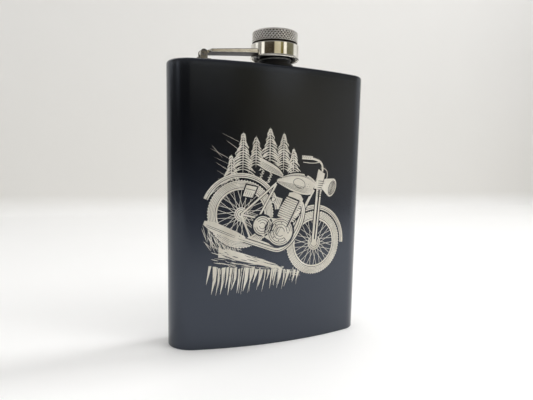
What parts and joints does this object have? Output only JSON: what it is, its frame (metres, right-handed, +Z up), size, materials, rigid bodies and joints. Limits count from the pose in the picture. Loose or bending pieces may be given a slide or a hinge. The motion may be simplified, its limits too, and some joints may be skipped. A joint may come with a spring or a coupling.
{
  "type": "hip flask",
  "caption": "Curved metal hip flask with a black coat and a polished, knurled screw cap held captive on a hinged arm.",
  "frame": {"origin": "on the surface it stands on, below the middle of its outline", "axes": "+Z up, +X along its width towards the side away from the hinge, -Y out of the convex front face"},
  "size_m": [0.095, 0.0264, 0.14],
  "materials": {
    "black_coat": "matte black powder coat over stainless steel",
    "arm_steel": "bright stainless steel",
    "polished_steel": "mirror-polished stainless steel",
    "knurled_steel": "diamond-knurled stainless steel",
    "seal_rubber": "translucent silicone",
    "liner_plastic": "black moulded plastic"
  },
  "bodies": {
    "flask": {"body_wall": "black_coat", "shoulder_plate": "black_coat", "base_plate": "black_coat", "neck_spout": "black_coat", "hinge_bracket": "arm_steel", "hinge_pin": "arm_steel"},
    "arm": {"cap_arm": "arm_steel", "cap_collar": "polished_steel"},
    "seal": {"cap_gasket": "seal_rubber"},
    "cap": {"cap_shell": "knurled_steel", "cap_insert": "liner_plastic", "keeper_ring": "arm_steel"}
  },
  "joints": [
    {"name": "arm_open", "type": "hinge", "parent": "flask", "child": "arm", "pos_m": [-0.0332, -0.00219, 0.1273], "axis": [0, -1, 0], "range_deg": [0, 180]},
    {"name": "cap_lift", "type": "slide", "parent": "arm", "child": "seal", "axis": [0, 0, 1], "range_m": [0, 0.003]},
    {"name": "cap_turn", "type": "hinge", "parent": "seal", "child": "cap", "pos_m": [0, -0.00219, 0.137], "axis": [0, 0, 1], "range_deg": [0, 540]}
  ],
  "couplings": [
    {"joint": "cap_lift", "follows": "cap_turn", "m_per_rad": 0.0003183}
  ]
}
